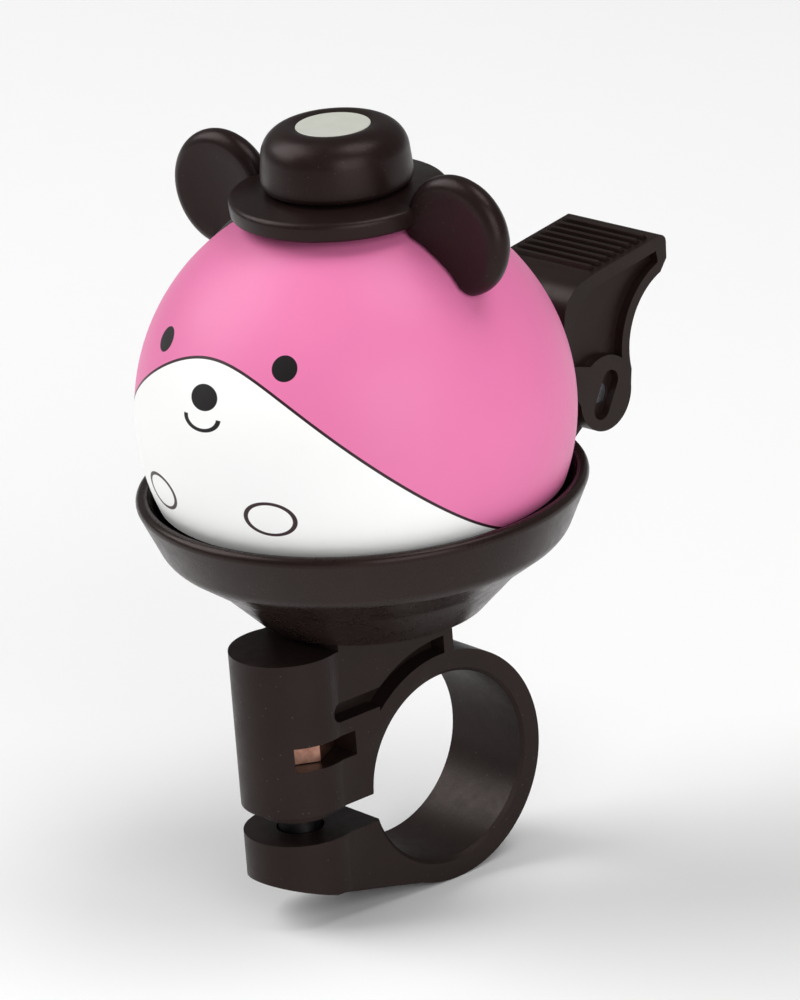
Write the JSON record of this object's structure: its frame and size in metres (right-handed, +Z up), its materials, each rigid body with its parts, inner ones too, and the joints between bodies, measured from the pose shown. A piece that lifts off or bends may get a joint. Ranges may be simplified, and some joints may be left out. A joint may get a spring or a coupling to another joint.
{
  "type": "bicycle bell",
  "caption": "Round handlebar bell with a painted gong, moulded hat and ears, ribbed thumb lever, inner hammer and a screw clamp.",
  "frame": {"origin": "centre of the clamp's bore, where the handlebar's axis passes the middle of the band", "axes": "+X along the handlebar; -Y to the front, the side of the clamp screw and the printed face; +Y to the thumb lever; +Z up, along the gong's axis"},
  "size_m": [0.0514, 0.0714, 0.0913],
  "materials": {
    "clamp_plastic": "moulded ABS, brown-black, fine moulded grain",
    "base_plastic": "moulded ABS, brown-black, satin",
    "hat_plastic": "moulded ABS, brown-black, satin",
    "lever_plastic": "moulded ABS, brown-black, fine moulded grain",
    "gong_paint": "pearl enamel on sheet steel, pink over white with thin dark lines",
    "disc_plastic": "pale grey-green moulded disc, satin",
    "zinc_steel": "zinc-plated steel",
    "spring_steel": "bright spring steel",
    "copper_nut": "copper-plated steel",
    "brass": "turned brass",
    "fibre": "black fibre washer"
  },
  "bodies": {
    "bell": {"clamp_bracket": "clamp_plastic", "clamp_nut": "copper_nut", "base_dish": "base_plastic", "base_screw": "zinc_steel", "centre_post": "zinc_steel", "post_washer": "zinc_steel", "seat_washer": "fibre", "gong_dome": "gong_paint", "ear_brim": "hat_plastic", "top_washer": "zinc_steel", "gong_screw": "zinc_steel", "crown_cap": "hat_plastic", "crown_disc": "disc_plastic", "lever_spring": "spring_steel"},
    "lever": {"thumb_lever": "lever_plastic", "lever_pin": "zinc_steel", "hammer_spring": "spring_steel", "spring_rivets": "brass"},
    "hammer": {"hammer_head": "brass"},
    "screw_washer": {"clamp_washer": "zinc_steel"},
    "screw": {"clamp_screw": "zinc_steel"}
  },
  "joints": [
    {"name": "lever_press", "type": "hinge", "parent": "bell", "child": "lever", "pos_m": [-0.00291, 0.02894, 0.036], "axis": [-0.9962, -0.0872, 0], "range_deg": [0, 12], "stiffness_Nm_per_rad": 0.12, "springref_deg": -14.32, "deforming": ["lever_spring"]},
    {"name": "hammer_flex", "type": "hinge", "parent": "lever", "child": "hammer", "pos_m": [-0.00135, 0.01111, 0.0311], "axis": [-0.9962, -0.0872, 0], "range_deg": [-3, 0.5], "stiffness_Nm_per_rad": 0.05, "deforming": ["hammer_spring"]},
    {"name": "washer_travel", "type": "slide", "parent": "bell", "child": "screw_washer", "axis": [0, 0, -1], "range_m": [0, 0.0024]},
    {"name": "screw_turn", "type": "hinge", "parent": "screw_washer", "child": "screw", "pos_m": [0, -0.0176, -0.0064], "axis": [0, 0, -1], "range_deg": [0, 1080]}
  ],
  "couplings": [
    {"joint": "screw_turn", "follows": "washer_travel", "rad_per_m": 7854}
  ]
}
